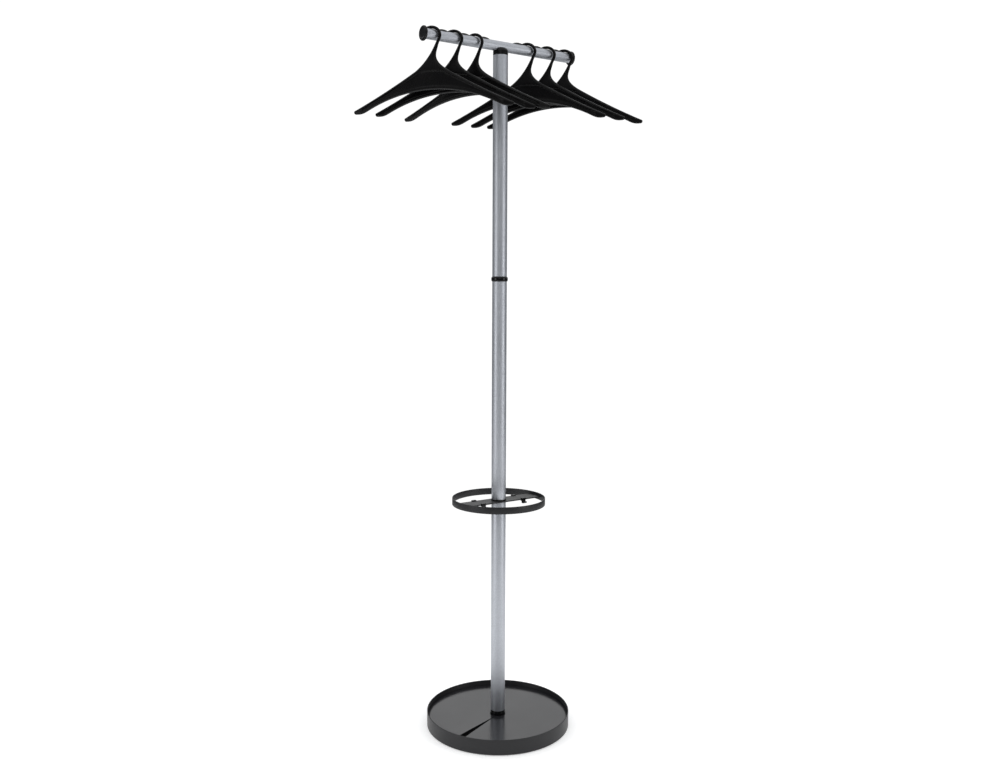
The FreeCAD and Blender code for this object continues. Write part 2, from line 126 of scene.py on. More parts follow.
def add_node(tree, kind, settings=None, links=None, stops=None):
    """Adds a node: settings are properties or input values, links are input sources."""
    node = tree.nodes.new(kind)
    for name, value in (settings or {}).items():
        if name in node.inputs:
            node.inputs[name].default_value = value
        else:
            setattr(node, name, value)
    for name, source in (links or {}).items():
        tree.links.new(source, node.inputs[name])
    if stops:
        ramp = node.color_ramp.elements
        while len(ramp) < len(stops):
            ramp.new(0.5)
        for element, (position, colour) in zip(ramp, stops):
            element.position, element.color = position, colour
    return node


def new_finish(name, shader_settings):
    """A material with one Principled shader, and the place on the object in metres."""
    if name in bpy.data.materials:
        return bpy.data.materials[name], None, None, None
    material = bpy.data.materials.new(name)
    material.use_nodes = True
    tree = material.node_tree
    tree.nodes.clear()
    shader = add_node(tree, "ShaderNodeBsdfPrincipled", shader_settings)
    add_node(tree, "ShaderNodeOutputMaterial", links={"Surface": shader.outputs["BSDF"]})
    place = add_node(tree, "ShaderNodeTexCoord").outputs["Object"]
    return material, tree, shader, place


def per_metre(millimetres):
    """Pattern scale that gives features this far apart."""
    return 1 / (millimetres * MM)


def vary(tree, shader, colour, tinted, rough=None, raised=None):
    """Breaks up an even finish. Each argument is a pattern and then its amounts.

    tinted has the share by which the colour goes darker and lighter, rough the lowest and
    highest roughness, and raised the relief's real depth in metres and its strength.
    """
    pattern, share = tinted
    dark = (*(channel * (1 - share) for channel in colour), 1)
    light = (*(min(channel * (1 + share), 1) for channel in colour), 1)
    ramp = add_node(tree, "ShaderNodeValToRGB", links={"Fac": pattern},
                    stops=[(0.3, dark), (0.7, light)])
    tree.links.new(ramp.outputs["Color"], shader.inputs["Base Color"])
    if rough:
        pattern, low, high = rough
        gloss = add_node(tree, "ShaderNodeMapRange", {
            "From Min": 0.3, "From Max": 0.7, "To Min": low, "To Max": high},
            {"Value": pattern})
        tree.links.new(gloss.outputs["Result"], shader.inputs["Roughness"])
    if raised:
        pattern, depth, strength = raised
        bump = add_node(tree, "ShaderNodeBump", {"Distance": depth, "Strength": strength},
                        {"Height": pattern})
        tree.links.new(bump.outputs["Normal"], shader.inputs["Normal"])


def mottled(name, colour, shader_settings, noise, share, rough, raised):
    """A finish whose colour, gloss and relief all follow one noise."""
    material, tree, shader, place = new_finish(
        name, {"Base Color": (*colour, 1), **shader_settings})
    if tree:
        mottle = add_node(tree, "ShaderNodeTexNoise", noise, {"Vector": place}).outputs["Fac"]
        vary(tree, shader, colour, (mottle, share), rough and (mottle, *rough),
             (mottle, *raised))
    return material


def powder_coat():
    """Polyester powder coat, sprayed dry and baked on steel.

    The melt leaves a satin skin with a shallow orange-peel, so highlights are broad and
    slightly uneven. The real peel repeats at about 1 mm; it is drawn at 2.5 mm because
    finer relief is lost from where the whole rack is seen.
    """
    colour = bpy.context.scene.rack_colours.tray
    material, tree, shader, place = new_finish("powder_coated_steel", {
        "Base Color": (*colour, 1), "Roughness": 0.42, "IOR": 1.5,
        "Specular IOR Level": 0.34})
    if tree:
        peel = add_node(tree, "ShaderNodeTexNoise", {
            "Scale": per_metre(2.5), "Detail": 2.0, "Roughness": 0.5}, {"Vector": place})
        cloud = add_node(tree, "ShaderNodeTexNoise", {
            "Scale": per_metre(45), "Detail": 2.0}, {"Vector": place}).outputs["Fac"]
        vary(tree, shader, colour, (cloud, 0.06), (cloud, 0.38, 0.47),
             (peel.outputs["Fac"], 0.05 * MM, 0.5))
    return material


def flake_paint(lengthwise):
    """Powder coat with aluminium flake, baked on drawn steel tube.

    The flakes lie nearly flat in a clear binder, so it shines like a satin metal with a
    fine sparkle, and long soft streaks stay from drawing the tube. Flakes are 0.05 mm and
    are drawn at 1.2 mm, and the streaks at 2.2 mm across, to be seen at all.
    """
    colour = bpy.context.scene.rack_colours.tube
    material, tree, shader, place = new_finish(f"silver_flake_paint_{lengthwise}", {
        "Base Color": (*colour, 1), "Metallic": 1.0, "Roughness": 0.48,
        "Coat Weight": 0.06, "Coat Roughness": 0.3, "Coat IOR": 1.5})
    if tree:
        flake = add_node(tree, "ShaderNodeTexVoronoi", {
            "Scale": per_metre(1.2), "feature": "F1"}, {"Vector": place})
        sparkle = add_node(tree, "ShaderNodeSeparateColor", {},
                           {"Color": flake.outputs["Color"]})
        stretch = (1.0, 1.0, 0.012) if lengthwise == "Z" else (0.012, 1.0, 1.0)
        along = add_node(tree, "ShaderNodeMapping", {"Scale": stretch}, {"Vector": place})
        streak = add_node(tree, "ShaderNodeTexNoise", {
            "Scale": per_metre(2.2), "Detail": 3.0}, {"Vector": along.outputs["Vector"]})
        cloud = add_node(tree, "ShaderNodeTexNoise", {
            "Scale": per_metre(60), "Detail": 2.0}, {"Vector": place})
        vary(tree, shader, colour, (sparkle.outputs["Red"], 0.07),
             (cloud.outputs["Fac"], 0.45, 0.52), (streak.outputs["Fac"], 0.02 * MM, 0.35))
    return material


def painted_slit_shade():
    """Near-black, dead matt paint on the tray's floor where the mat lies: painted shade, so
    that the slit in the mat looks dark as if in shadow.

    It hardly reflects, so its specular level is near zero. Faint ridges like brush strokes
    lie about 3 mm apart.
    """
    return mottled("painted_slit_shade", linear("#070707"),
                   {"Roughness": 1.0, "IOR": 1.5, "Specular IOR Level": 0.05},
                   {"Scale": per_metre(3), "Detail": 3.0}, 0.3, None, (0.1 * MM, 0.4))


def calendered_vinyl():
    """Soft PVC sheet, rolled between an embossing and a smooth roller.

    It has a fine leather-like grain with a waxy half-gloss that mirrors upright things as
    a soft dark smear. The grain is 1 mm and is drawn at 2 mm to be seen.
    """
    colour = bpy.context.scene.rack_colours.mat
    material, tree, shader, place = new_finish("calendered_vinyl", {
        "Base Color": (*colour, 1), "Roughness": 0.2, "IOR": 1.53,
        "Specular IOR Level": 0.34})
    if tree:
        grain = add_node(tree, "ShaderNodeTexVoronoi", {
            "Scale": per_metre(2.0), "feature": "SMOOTH_F1"}, {"Vector": place})
        cloud = add_node(tree, "ShaderNodeTexNoise", {
            "Scale": per_metre(90), "Detail": 3.0}, {"Vector": place}).outputs["Fac"]
        vary(tree, shader, colour, (cloud, 0.08), (cloud, 0.18, 0.23),
             (grain.outputs["Distance"], 0.04 * MM, 0.3))
    return material


def moulded_polypropylene():
    """Black polypropylene, injected into a spark-eroded steel mould.

    The mould leaves an even fine texture that swallows light, so the specular level is low:
    the faces look nearly black, with a soft grey sheen on the rounded rims. The texture is
    0.3 mm and is drawn at 1.5 mm to be seen.
    """
    colour = bpy.context.scene.rack_colours.hanger
    material, tree, shader, place = new_finish("moulded_polypropylene", {
        "Base Color": (*colour, 1), "Roughness": 0.28, "IOR": 1.49,
        "Specular IOR Level": 0.17})
    if tree:
        erosion = add_node(tree, "ShaderNodeTexNoise", {
            "Scale": per_metre(1.5), "Detail": 2.0}, {"Vector": place})
        flow = add_node(tree, "ShaderNodeTexNoise", {
            "Scale": per_metre(55), "Detail": 3.0, "Distortion": 0.6},
            {"Vector": place}).outputs["Fac"]
        vary(tree, shader, colour, (flow, 0.12), (flow, 0.25, 0.32),
             (erosion.outputs["Fac"], 0.03 * MM, 0.3))
    return material


def moulded_abs():
    """Black ABS, injected into a polished mould.

    It has sharp small highlights, softened a little by flow marks where the plastic met
    round a pin. The marks repeat at about 12 mm.
    """
    return mottled("moulded_abs", bpy.context.scene.rack_colours.fittings,
                   {"Roughness": 0.2, "IOR": 1.53, "Specular IOR Level": 0.25},
                   {"Scale": per_metre(12), "Detail": 3.0, "Distortion": 0.8},
                   0.1, (0.17, 0.24), (0.03 * MM, 0.3))


def moulded_rubber():
    """Black nitrile rubber, pressed in a hot mould: dull, with a dusty bloom.

    The bloom is a grey patchiness 15 mm across.
    """
    return mottled("moulded_rubber", linear("#191919"), {"Roughness": 0.72, "IOR": 1.52},
                   {"Scale": per_metre(15), "Detail": 4.0},
                   0.3, (0.66, 0.8), (0.05 * MM, 0.4))


def cast_iron():
    """Grey iron, cast in sand and left raw: dark and pitted by grains of about 1 mm.

    The grains are drawn at 2 mm to be seen.
    """
    return mottled("sand_cast_iron", linear("#3C3B3A"), {"Metallic": 0.8, "Roughness": 0.6},
                   {"Scale": per_metre(2), "Detail": 5.0},
                   0.35, (0.5, 0.72), (0.25 * MM, 0.7))


def zinc_plate():
    """Steel with bright zinc electroplate: pale, bluish and lightly clouded.

    The clouding comes from the passivation bath and is about 6 mm across.
    """
    return mottled("zinc_plated_steel", linear("#C3C6C6"), {"Metallic": 1.0, "Roughness": 0.3},
                   {"Scale": per_metre(6), "Detail": 3.0},
                   0.1, (0.22, 0.42), (0.02 * MM, 0.3))


# ---- Mesh code ----


def make_object(name, points, faces, material, smooth_angle=35):
    """A mesh object with outward faces, smooth except at edges sharper than the angle."""
    mesh = bpy.data.meshes.new(name)
    mesh.from_pydata([tuple(point) for point in points], [], faces)
    work = bmesh.new()
    work.from_mesh(mesh)
    bmesh.ops.recalc_face_normals(work, faces=work.faces)
    work.to_mesh(mesh)
    work.free()
    mesh.shade_smooth()
    mesh.set_sharp_from_angle(angle=math.radians(smooth_angle))
    mesh.materials.append(material)
    piece = bpy.data.objects.new(name, mesh)
    bpy.context.scene.collection.objects.link(piece)
    return piece


def repaint(node, material):
    """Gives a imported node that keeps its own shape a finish."""
    shown = frame["nodes"][node]
    shown.data.materials.clear()
    shown.data.materials.append(material)


def rounded(corners, steps=4):
    """A closed outline with each corner (across, up, radius) rounded off."""
    outline = []
    for index, (across, up, radius) in enumerate(corners):
        corner = Vector((across, up))
        before = Vector(corners[index - 1][:2]) - corner
        after = Vector(corners[(index + 1) % len(corners)][:2]) - corner
        if radius <= 0:
            outline.append(corner)
            continue
        before.normalize()
        after.normalize()
        half = before.angle(after) / 2
        centre = corner + (before + after).normalized() * (radius / math.sin(half))
        first = corner + before * (radius / math.tan(half)) - centre
        last = corner + after * (radius / math.tan(half)) - centre
        turn = first.angle_signed(last)
        for step in range(steps + 1):
            outline.append(centre + Matrix.Rotation(-turn * step / steps, 2) @ first)
    return outline


def turned(outline, segments=128, closed=True, ends=False):
    """Turns an outline of (radius, height) round Z; ends closes it with flat discs."""
    count, points, faces = len(outline), [], []
    for step in range(segments):
        angle = math.tau * step / segments
        points += [(r * math.cos(angle), r * math.sin(angle), h) for r, h in outline]
    for step in range(segments):
        here, there = step * count, (step + 1) % segments * count
        for index in range(count if closed else count - 1):
            after = (index + 1) % count
            faces.append((here + index, there + index, there + after, here + after))
    if ends:
        faces.append([step * count for step in range(segments)])
        faces.append([step * count + count - 1 for step in reversed(range(segments))])
    return points, faces


def pushed_out(outline, low, high):
    """A flat outline of (across, up) as a solid between two depths, along the third axis."""
    count = len(outline)
    points = [(a, u, low) for a, u in outline] + [(a, u, high) for a, u in outline]
    faces = [list(reversed(range(count))), list(range(count, 2 * count))]
    faces += [(i, (i + 1) % count, (i + 1) % count + count, i + count)
              for i in range(count)]
    return points, faces


def tube_wall(outer, gauge, low, high, edge):
    """Outline of a tube's wall, with its four corners rounded off."""
    return rounded([(outer - gauge, low, edge), (outer, low, edge),
                    (outer, high, edge), (outer - gauge, high, edge)])


def lofted(rows, count):
    """Faces through rows of count points, each a closed loop, with both ends closed."""
    faces = []
    for row in range(rows):
        here, there = row * count, (row + 1) * count
        for index in range(count):
            after = (index + 1) % count
            faces.append((here + index, here + after, there + after, there + index))
    faces.append(list(range(count)))
    faces.append([rows * count + index for index in reversed(range(count))])
    return faces


def soften(piece, width, segments=3, angle=40):
    """Rounds the edges of a piece that are sharper than an angle."""
    bevel = piece.modifiers.new("rounded_edges", "BEVEL")
    bevel.width = width
    bevel.segments = segments
    bevel.limit_method = "ANGLE"
    bevel.angle_limit = math.radians(angle)
    bevel.harden_normals = True


def along_bar(points):
    """Points turned from the Z axis to the crossbar's axis."""
    return [(z, y, BAR_AXIS - x) for x, y, z in points]


def pointing(bearing):
    """A flat direction from its bearing in degrees."""
    turn = math.radians(bearing)
    return Vector((math.cos(turn), math.sin(turn)))


def span(node):
    """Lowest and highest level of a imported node."""
    low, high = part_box(node)
    return low.z, high.z


def outer_radius(node):
    """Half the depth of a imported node, which is its radius where it is round."""
    low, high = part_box(node)
    return (high.y - low.y) / 2


# ---- Base ----


class RACK_OT_tray(bpy.types.Operator):
    """Round base tray with a folded rim and a straight skirt"""

    bl_idname = "rack.tray"
    bl_label = "Base tray"

    def execute(self, context):
        sizes = context.scene.rack_sizes
        radius = outer_radius("base_pan")
        low, high = span("base_pan")
        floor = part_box("drip_mat")[0].z
        gauge, rim, bend = 1.6 * MM, 2.4 * MM, 1.5 * MM
        bolt_hole = 5 * MM
        wall = radius - rim
        outline = rounded([
            (bolt_hole, floor - gauge, 0),
            (radius - gauge, floor - gauge, 0.4 * MM),
            (radius - gauge, low, 0.4 * MM),
            (radius, low, 0.7 * MM),
            (radius, high, sizes.hem),
            (wall, high, sizes.hem),
            (wall, floor, bend),
            (bolt_hole, floor, 0),
        ], steps=6)
        points, faces = turned(outline, 192)
        tray = make_object("tray", points, faces, powder_coat(), 50)
        # Painted shade: the tray's floor under the mat takes a near-black finish so that the slit
        # in the mat looks shadowed.
        tray.data.materials.append(painted_slit_shade())
        for face in tray.data.polygons:
            if face.normal.z > 0.9 and face.center.z < floor + 0.1 * MM:
                face.material_index = 1
        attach(tray, "root")
        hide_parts("base_pan")
        return {"FINISHED"}


class RACK_OT_underside(bpy.types.Operator):
    """Ballast disc, rubber foot ring, bolt and washer under the tray"""

    bl_idname = "rack.underside"
    bl_label = "Underside"

    def execute(self, context):
        repaint("base_weight", cast_iron())
        inner, outer, height = 150 * MM, outer_radius("foot_ring"), span("foot_ring")[1]
        groove_depth, groove = 1.2 * MM, 2 * MM
        outline = [(inner, 0, 0.3 * MM)]
        for middle in (157 * MM, 162.5 * MM, 168 * MM):
            outline += [(middle - groove, 0, 0), (middle - groove / 2, groove_depth, 0),
                        (middle + groove / 2, groove_depth, 0), (middle + groove, 0, 0)]
        outline += [(outer, 0, 1 * MM), (outer, height, 0.5 * MM), (inner, height, 0.5 * MM)]
        points, faces = turned(rounded(outline), 160)
        ring = make_object("rubber_foot_ring", points, faces, moulded_rubber())
        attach(ring, "root")
        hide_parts("foot_ring")
        repaint("base_bolt", zinc_plate())
        repaint("base_washer", zinc_plate())
        return {"FINISHED"}


class RACK_OT_drip_mat(bpy.types.Operator):
    """Loose vinyl mat whose slit lets it come off the post"""

    bl_idname = "rack.drip_mat"
    bl_label = "Drip mat"

    def execute(self, context):
        lift = context.scene.rack_sizes.mat_lift
        low, high = span("drip_mat")
        hole, edge, corner = 19.7 * MM, outer_radius("drip_mat"), 0.6 * MM
        # The slit's two straight sides meet beside the post and open towards the rim.
        slit_middle, slit_half = 203.3, 2.8
        near = pointing(224) * (17.7 * MM)
        sides = [pointing(slit_middle + turn) * (190 * MM) for turn in (slit_half, -slit_half)]
        rings = [hole, hole + corner / 3, hole + corner]
        rings += [hole + corner + (edge - hole - 2 * corner) * step / 26 for step in range(1, 26)]
        rings += [edge - corner, edge - corner / 3, edge]
        drops = [corner, corner / 3, 0] + [0] * 25 + [0, corner / 3, corner]

        def bearing_at(radius, far):
            """Bearing at which the straight side of the slit crosses a radius."""
            way = far - near
            a, b, c = way.dot(way), 2 * near.dot(way), near.dot(near) - radius ** 2
            reach = (-b + math.sqrt(max(b * b - 4 * a * c, 0))) / (2 * a)
            place = near + way * reach
            return math.atan2(place.y, place.x) % math.tau

        stations, points = 180, []
        starts = [bearing_at(radius, sides[0]) for radius in rings]
        stops = [bearing_at(radius, sides[1]) + math.tau for radius in rings]
        for station in range(stations + 1):
            # Stations crowd towards the slit, where the mat curls.
            share = station / stations
            share = share - math.sin(math.tau * share) / math.tau * 0.8
            upper, lower = [], []
            for radius, drop, start, stop in zip(rings, drops, starts, stops):
                bearing = start + (stop - start) * share
                # The post holds the mat down close by, so it is free to curl further out.
                free = min(max((radius - 40 * MM) / (90 * MM), 0), 1)
                gap_far = radius * (stop - bearing) / (24 * MM)
                gap_near = radius * (bearing - start) / (20 * MM)
                curl = lift * free * (math.exp(-gap_far ** 2) + 0.25 * math.exp(-gap_near ** 2))
                x, y = radius * math.cos(bearing), radius * math.sin(bearing)
                upper.append((x, y, high - drop + curl))
                lower.append((x, y, low + curl))
            points += upper + lower[::-1]
        mat = make_object("drip_mat_sheet", points, lofted(stations, 2 * len(rings)),
                          calendered_vinyl(), 30)
        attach(mat, "mat")
        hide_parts("drip_mat")
        return {"FINISHED"}


# ---- Post ----


class RACK_OT_post(bpy.types.Operator):
    """Three painted tubes of the post, with rounded cut ends"""

    bl_idname = "rack.post"
    bl_label = "Post tubes"

    def execute(self, context):
        edge, gauge = context.scene.rack_sizes.tube_edge, TUBE_GAUGE
        for node in ("lower_tube", "middle_tube", "upper_tube"):
            radius = outer_radius(node)
            low, high = span(node)
            points, faces = turned(tube_wall(radius, gauge, low, high, edge))
            tube = make_object("painted_" + node, points, faces, flake_paint("Z"), 50)
            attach(tube, "root")
            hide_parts(node)
        return {"FINISHED"}


class RACK_OT_collars(bpy.types.Operator):
    """Black collars at the foot, on the umbrella plate and between the upper tubes"""

    bl_idname = "rack.collars"
    bl_label = "Collars"

    def execute(self, context):
        edge, bore, reveal = context.scene.rack_sizes.moulded_edge, 5 * MM, 0.35 * MM
        low, high = span("foot_collar")
        radius = outer_radius("foot_collar")
        foot = rounded([
            (bore, low, 0), (radius, low, edge), (radius, high, edge), (bore, high, 0)])
        low, high = span("joint_collar")
        radius, lip = outer_radius("joint_collar"), 19.3 * MM
        steps, fullness = 14, 0.9
        barrel = [(bore, low), (lip - reveal, low), (lip, low + reveal)]
        for step in range(1, steps):
            way = math.pi * step / steps
            height = low + reveal + (high - low - 2 * reveal) * (1 - math.cos(way)) / 2
            barrel.append((lip + (radius - lip) * math.sin(way) ** fullness, height))
        barrel += [(lip, high - reveal), (lip - reveal, high), (bore, high)]
        low, high = span("plate_collar")
        radius = outer_radius("plate_collar")
        washer = rounded([
            (bore, low, 0), (radius, low, edge / 2), (radius, high, edge), (bore, high, 0)])
        for name, node, outline in (("foot_collar_moulding", "foot_collar", foot),
                                    ("joint_collar_moulding", "joint_collar", barrel),
                                    ("plate_collar_moulding", "plate_collar", washer)):
            points, faces = turned(outline)
            collar = make_object(name, points, faces, moulded_abs(), 40)
            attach(collar, "root")
            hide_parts(node)
        return {"FINISHED"}


class RACK_OT_inner_hardware(bpy.types.Operator):
    """Plugs, studs and nut that are hidden inside the tubes"""

    bl_idname = "rack.inner_hardware"
    bl_label = "Inner hardware"

    def execute(self, context):
        for node in frame["nodes"]:
            if node.endswith(("_plug", "_stud", "_nut")):
                repaint(node, zinc_plate())
        return {"FINISHED"}


# ---- Umbrella holder ----


class RACK_OT_umbrella_band(bpy.types.Operator):
    """Flat steel band bent into the umbrella ring"""

    bl_idname = "rack.umbrella_band"
    bl_label = "Umbrella band"

    def execute(self, context):
        radius, gauge, edge = outer_radius("umbrella_band"), BAND_GAUGE, 0.7 * MM
        low, high = span("umbrella_band")
        points, faces = turned(tube_wall(radius, gauge, low, high, edge), 160)
        band = make_object("umbrella_ring", points, faces, powder_coat(), 50)
        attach(band, "root")
        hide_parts("umbrella_band")
        return {"FINISHED"}


class RACK_OT_umbrella_plate(bpy.types.Operator):
    """Steel plate across the ring, which the post clamps"""

    bl_idname = "rack.umbrella_plate"
    bl_label = "Umbrella plate"

    def execute(self, context):
        low, high = span("umbrella_plate")
        reach = outer_radius("umbrella_band") - BAND_GAUGE
        half = outer_radius("umbrella_plate")
        corner = math.asin(half / reach)
        outline = []
        for side in (0, math.pi):
            for step in range(13):
                turn = side - corner + 2 * corner * step / 12
                outline.append((reach * math.cos(turn), reach * math.sin(turn)))
        points, faces = pushed_out(outline, low, high)
        plate = make_object("umbrella_cross_plate", points, faces, powder_coat(), 50)
        soften(plate, 0.6 * MM)
        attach(plate, "root")
        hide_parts("umbrella_plate")
        return {"FINISHED"}


class RACK_OT_strap_hooks(bpy.types.Operator):
    """Four plastic hooks clipped to the edges of the plate"""

    bl_idname = "rack.strap_hooks"
    bl_label = "Strap hooks"

    def execute(self, context):
        level, top = span("umbrella_plate")
        thick, edge_of_plate = top - level, outer_radius("umbrella_plate")
        gauge, grip, drop, reach, half = 2.4 * MM, 5 * MM, 8 * MM, 8 * MM, 6 * MM
        bend, place = 1.1 * MM, 63 * MM
        outline = rounded([
            (-grip, thick, 0), (0, thick, 0), (0, 0, 0), (-grip, 0, 0),
            (-grip, -gauge, bend), (0, -gauge, 0), (0, -drop, 2 * bend),
            (reach, -drop, 2 * bend), (reach, -drop + 2 * gauge, bend),
            (reach - gauge, -drop + 2 * gauge, bend),
            (reach - gauge, -drop + gauge, bend / 2),
            (gauge, -drop + gauge, bend), (gauge, thick + gauge, bend),
            (-grip, thick + gauge, bend),
        ])
        points, faces = [], []
        for side in (-1, 1):
            for along in (-place, place):
                raw, hook_faces = pushed_out(outline, -half, half)
                start = len(points)
                points += [(along + side * z, side * (edge_of_plate + x), level + y)
                           for x, y, z in raw]
                faces += [[start + index for index in face] for face in hook_faces]
        hooks = make_object("strap_hooks", points, faces, moulded_abs(), 40)
        soften(hooks, 0.5 * MM, angle=60)
        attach(hooks, "root")
        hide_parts("umbrella_hooks")
        return {"FINISHED"}


# ---- Crossbar ----


class RACK_OT_saddle_cap(bpy.types.Operator):
    """Cap on the post with the groove that the crossbar lies in"""

    bl_idname = "rack.saddle_cap"
    bl_label = "Saddle cap"

    def execute(self, context):
        edge = context.scene.rack_sizes.moulded_edge
        radius, bore, crown = outer_radius("saddle_cap"), 5 * MM, 8 * MM
        low = span("saddle_cap")[0]
        top = low + 18.4 * MM
        outline = rounded([
            (bore, low, 0), (radius, low, edge), (radius, top, crown), (bore, top, 0),
        ], steps=10)
        points, faces = turned(outline)
        cap = make_object("saddle_cap_moulding", points, faces, moulded_abs(), 40)
        bar = [(BAR_RADIUS, -30 * MM), (BAR_RADIUS, 30 * MM)]
        points, faces = turned(bar, closed=False, ends=True)
        cutter = make_object("bar_groove", along_bar(points), faces, moulded_abs())
        carve = cap.modifiers.new("bar_groove", "BOOLEAN")
        carve.operation, carve.object, carve.solver = "DIFFERENCE", cutter, "EXACT"
        shape = cap.evaluated_get(context.evaluated_depsgraph_get())
        carved = bpy.data.meshes.new_from_object(shape)
        cap.modifiers.clear()
        cap.data = carved
        bpy.data.objects.remove(cutter)
        least_points = 1000
        if len(carved.vertices) < least_points:
            raise RuntimeError("the groove was not cut into the saddle cap")
        soften(cap, 0.4 * MM, 2)
        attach(cap, "root")
        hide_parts("saddle_cap")
        return {"FINISHED"}


class RACK_OT_crossbar(bpy.types.Operator):
    """Painted tube that the hangers hang on"""

    bl_idname = "rack.crossbar"
    bl_label = "Crossbar"

    def execute(self, context):
        edge, gauge = context.scene.rack_sizes.tube_edge, TUBE_GAUGE
        low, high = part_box("crossbar")
        radius = (high.y - low.y) / 2
        points, faces = turned(tube_wall(radius, gauge, low.x, high.x, edge))
        bar = make_object("painted_crossbar", along_bar(points), faces, flake_paint("X"), 50)
        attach(bar, "root")
        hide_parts("crossbar")
        return {"FINISHED"}


class RACK_OT_end_caps(bpy.types.Operator):
    """Round plastic caps with a shallow dish in the face and a plug in the bar"""

    bl_idname = "rack.end_caps"
    bl_label = "End caps"

    def execute(self, context):
        bore, plug, round_edge = 11 * MM, 18 * MM, 2.8 * MM
        for node, side in (("left_end_cap", -1), ("right_end_cap", 1)):
            low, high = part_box(node)
            radius = (high.y - low.y) / 2
            thickness = (high.x - low.x) - plug
            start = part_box("crossbar")[side > 0].x
            corners = rounded([
                (1 * MM, -plug, 0), (bore, -plug, 0.8 * MM), (bore, 0, 0),
                (radius, 0, round_edge), (radius, thickness, round_edge),
                (radius - 5.5 * MM, thickness, 1.5 * MM),
                (radius - 7 * MM, thickness - 0.7 * MM, 1.5 * MM),
                (1 * MM, thickness - 0.7 * MM, 0)], steps=6)
            points, faces = turned(corners, closed=False, ends=True)
            points = [(start + side * z, y, BAR_AXIS - x) for x, y, z in points]
            cap = make_object(node + "_moulding", points, faces, moulded_abs(), 40)
            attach(cap, "root")
            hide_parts(node)
        return {"FINISHED"}


class RACK_OT_spacers(bpy.types.Operator):
    """Lens-shaped humps on the bar that keep the hangers apart"""

    bl_idname = "rack.spacers"
    bl_label = "Spacers"

    def execute(self, context):
        rows, columns, half_turn = 28, 20, math.radians(30)
        for number in range(1, 7):
            node = f"spacer_{number}"
            low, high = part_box(node)
            middle, half = (low.x + high.x) / 2, (high.x - low.x) / 2
            proud, lip = high.z - BAR_AXIS - BAR_RADIUS, 0.4 * MM
            points = []
            for row in range(rows + 1):
                along = -math.cos(math.pi * row / rows)
                hump = lip + (proud - lip) * (1 - along ** 2)
                hump *= math.sqrt(max(1 - abs(along) ** 16, 0.02))
                upper, lower = [], []
                for column in range(columns + 1):
                    across = -math.cos(math.pi * column / columns)
                    rise = hump * math.sqrt(max(1 - abs(across) ** 10, 0.02))
                    turn = half_turn * across
                    x = middle + half * along
                    for radius, side in ((BAR_RADIUS + rise, upper), (BAR_RADIUS, lower)):
                        side.append((x, radius * math.sin(turn),
                                     BAR_AXIS + radius * math.cos(turn)))
                points += upper + lower[::-1]
            spacer = make_object(node + "_moulding", points, lofted(rows, 2 * (columns + 1)),
                                 moulded_abs(), 45)
            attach(spacer, "root")
            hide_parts(node)
        return {"FINISHED"}


# ---- Hangers ----


def arc(start, end, radius, count):
    """Points after start along the short arc to end; positive puts its centre on the left."""
    start, end = np.array(start, float), np.array(end, float)
    chord = end - start
    length = np.hypot(*chord)
    left = np.array((-chord[1], chord[0])) / length
    rise = math.sqrt(max(radius ** 2 - length ** 2 / 4, 0))
    centre = (start + end) / 2 + left * math.copysign(rise, radius)
    first, last = start - centre, end - centre
    turn = math.atan2(first[0] * last[1] - first[1] * last[0], first @ last)
    angles = np.linspace(0, turn, count + 1)[1:]
    cos, sin = np.cos(angles), np.sin(angles)
    return np.stack((centre[0] + first[0] * cos - first[1] * sin,
                     centre[1] + first[0] * sin + first[1] * cos), 1)


def eased(start, start_way, end, end_way, count):
    """Points after start along a smooth curve with given directions at its ends."""
    start, end = np.array(start, float), np.array(end, float)
    reach = np.hypot(*(end - start))
    pull_start = np.array(start_way) * reach
    pull_end = np.array(end_way) * reach
    t = np.linspace(0, 1, count + 1)[1:, None]
    return ((2 * t ** 3 - 3 * t ** 2 + 1) * start + (t ** 3 - 2 * t ** 2 + t) * pull_start
            + (3 * t ** 2 - 2 * t ** 3) * end + (t ** 3 - t ** 2) * pull_end)


def distance_to(line, spots):
    """Shortest distance from each spot to a line of points."""
    start, way = line[:-1], line[1:] - line[:-1]
    offset = spots[:, None, :] - start[None]
    share = np.clip((offset * way).sum(2) / np.maximum((way ** 2).sum(1), 1e-12), 0, 1)
    return np.sqrt(((offset - share[..., None] * way) ** 2).sum(2).min(1))


def within(line, spots):
    """Which spots are inside a closed line of points."""
    x, z = spots[:, 0, None], spots[:, 1, None]
    a, b = line, np.roll(line, -1, 0)
    crosses = (a[:, 1] > z) != (b[:, 1] > z)
    rise = np.where(a[:, 1] == b[:, 1], 1e-9, b[:, 1] - a[:, 1])
    at = a[:, 0] + (z - a[:, 1]) * (b[:, 0] - a[:, 0]) / rise
    return (crosses & (x < at)).sum(1) % 2 == 1


def smooth_step(share):
    """A share from 0 to 1 that leaves 0 and reaches 1 gently."""
    share = np.clip(share, 0, 1)
    return share * share * (3 - 2 * share)


def round_edge(distance, radius):
    """Share of the full depth at a distance in from a rim that is rounded off."""
    return np.sqrt(1 - (1 - np.clip(distance / radius, 0, 1)) ** 2)


def level_on(line, across):
    """Level of a symmetric line, given by its right half, at distances from its middle."""
    return np.interp(np.abs(across), line[:, 0], line[:, 1])


